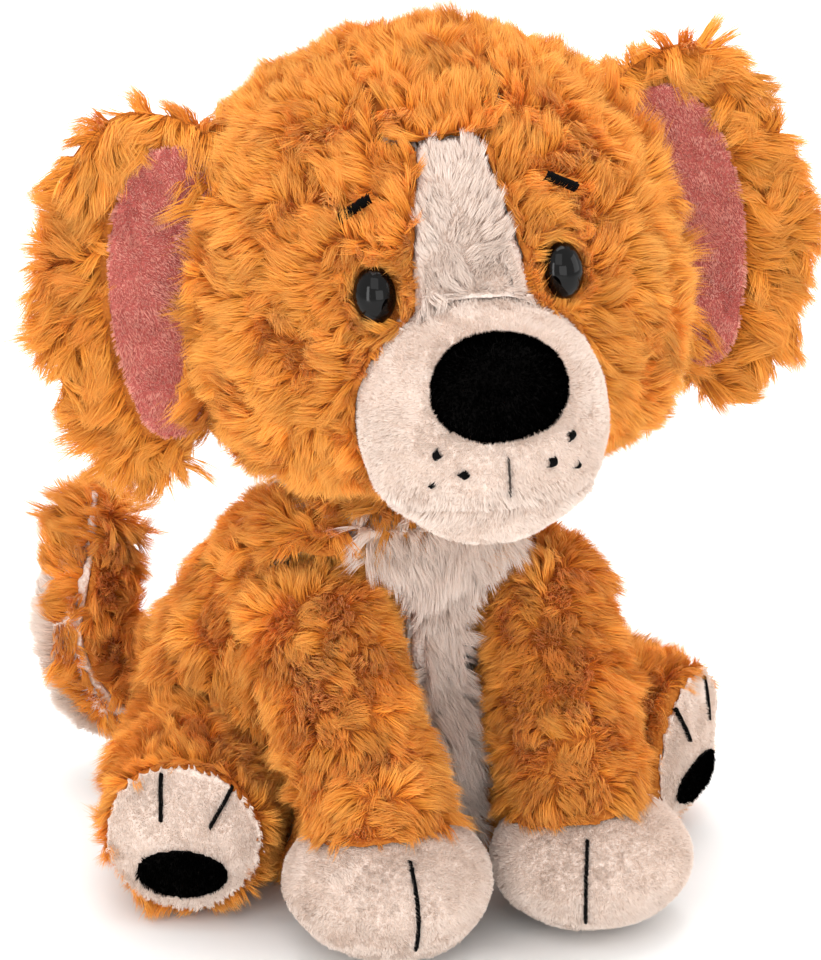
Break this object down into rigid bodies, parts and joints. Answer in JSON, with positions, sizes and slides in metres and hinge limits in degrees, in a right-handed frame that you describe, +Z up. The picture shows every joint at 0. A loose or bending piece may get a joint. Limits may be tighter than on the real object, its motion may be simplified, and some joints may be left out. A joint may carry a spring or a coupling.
{
  "type": "plush dog",
  "caption": "Seated stuffed plush dog with a turning head, flapping ears, swinging front legs, splaying hind legs and a curled wagging tail.",
  "frame": {"origin": "middle of the seat panel's flat underside, on the surface that the dog sits on", "axes": "+Z up, the dog's body faces -Y, and the dog's own left is +X"},
  "size_m": [0.2463, 0.2865, 0.2955],
  "materials": {
    "ginger_plush": "long crimped pile",
    "white_plush": "short straight pile",
    "pink_velour": "very short pile",
    "black_plush": "very short pile",
    "black_thread": "satin-stitch embroidery",
    "eye_plastic": "polished",
    "washer_plastic": "natural",
    "polyester_fibre": "loose fibre",
    "pellet_cloth": "plain woven"
  },
  "bodies": {
    "torso": {"seat_panel": "ginger_plush", "chest_panel": "white_plush", "torso_right_side": "ginger_plush", "torso_left_side": "ginger_plush", "pellet_bag": "pellet_cloth", "torso_stuffing": "polyester_fibre"},
    "neck": {"neck_cover": "ginger_plush", "neck_stuffing": "polyester_fibre"},
    "head": {"head_right_side": "ginger_plush", "head_left_side": "ginger_plush", "head_gusset": "ginger_plush", "forehead_blaze": "white_plush", "muzzle": "white_plush", "chin": "white_plush", "nose": "black_plush", "nose_stuffing": "polyester_fibre", "mouth_stitch": "black_thread", "whisker_dots": "black_thread", "right_eye": "eye_plastic", "left_eye": "eye_plastic", "right_eye_washer": "washer_plastic", "left_eye_washer": "washer_plastic", "right_brow": "black_thread", "left_brow": "black_thread", "head_stuffing": "polyester_fibre", "muzzle_stuffing": "polyester_fibre"},
    "tail": {"tail_top": "ginger_plush", "tail_underside": "white_plush", "tail_stuffing": "polyester_fibre"},
    "right_ear": {"right_ear_back": "ginger_plush", "right_ear_lining": "pink_velour"},
    "right_front_leg": {"right_leg_sleeve": "ginger_plush", "right_paw": "white_plush", "right_paw_toe_line": "black_thread", "right_leg_stuffing": "polyester_fibre"},
    "right_hind_leg": {"right_thigh": "ginger_plush", "right_sole": "white_plush", "right_sole_pad": "black_plush", "right_sole_toe_lines": "black_thread", "right_hind_leg_stuffing": "polyester_fibre"},
    "left_ear": {"left_ear_back": "ginger_plush", "left_ear_lining": "pink_velour"},
    "left_front_leg": {"left_leg_sleeve": "ginger_plush", "left_paw": "white_plush", "left_paw_toe_line": "black_thread", "left_leg_stuffing": "polyester_fibre"},
    "left_hind_leg": {"left_thigh": "ginger_plush", "left_sole": "white_plush", "left_sole_pad": "black_plush", "left_sole_toe_lines": "black_thread", "left_hind_leg_stuffing": "polyester_fibre"}
  },
  "joints": [
    {"name": "head_turn", "type": "hinge", "parent": "torso", "child": "neck", "pos_m": [-0.006, -0.044, 0.144], "axis": [0, 0, 1], "range_deg": [-25, 25], "stiffness_Nm_per_rad": 0.8},
    {"name": "head_nod", "type": "hinge", "parent": "neck", "child": "head", "pos_m": [-0.006, -0.044, 0.144], "axis": [1, 0, 0], "range_deg": [-12, 12], "stiffness_Nm_per_rad": 2},
    {"name": "right_ear_flap", "type": "hinge", "parent": "head", "child": "right_ear", "pos_m": [-0.07992, -0.03976, 0.21567], "axis": [0.0958, 0.0463, 0.9943], "range_deg": [-24, 40], "stiffness_Nm_per_rad": 0.05},
    {"name": "left_ear_flap", "type": "hinge", "parent": "head", "child": "left_ear", "pos_m": [0.0652, -0.0777, 0.22876], "axis": [0.2264, -0.1305, -0.9653], "range_deg": [-24, 40], "stiffness_Nm_per_rad": 0.05},
    {"name": "right_front_leg_swing", "type": "hinge", "parent": "torso", "child": "right_front_leg", "pos_m": [-0.041, -0.053, 0.097], "axis": [-1, 0, 0], "range_deg": [0, 40], "stiffness_Nm_per_rad": 0.3},
    {"name": "right_hind_leg_splay", "type": "hinge", "parent": "torso", "child": "right_hind_leg", "pos_m": [-0.058, 0.004, 0.035], "axis": [0, 0, -1], "range_deg": [0, 20], "stiffness_Nm_per_rad": 0.3},
    {"name": "left_front_leg_swing", "type": "hinge", "parent": "torso", "child": "left_front_leg", "pos_m": [0.036, -0.052, 0.097], "axis": [-1, 0, 0], "range_deg": [0, 40], "stiffness_Nm_per_rad": 0.3},
    {"name": "left_hind_leg_splay", "type": "hinge", "parent": "torso", "child": "left_hind_leg", "pos_m": [0.058, 0.004, 0.035], "axis": [0, 0, 1], "range_deg": [0, 20], "stiffness_Nm_per_rad": 0.3},
    {"name": "tail_wag", "type": "hinge", "parent": "torso", "child": "tail", "pos_m": [-0.018, 0.066, 0.02405], "axis": [0, 0, -1], "range_deg": [0, 40], "stiffness_Nm_per_rad": 0.12}
  ]
}
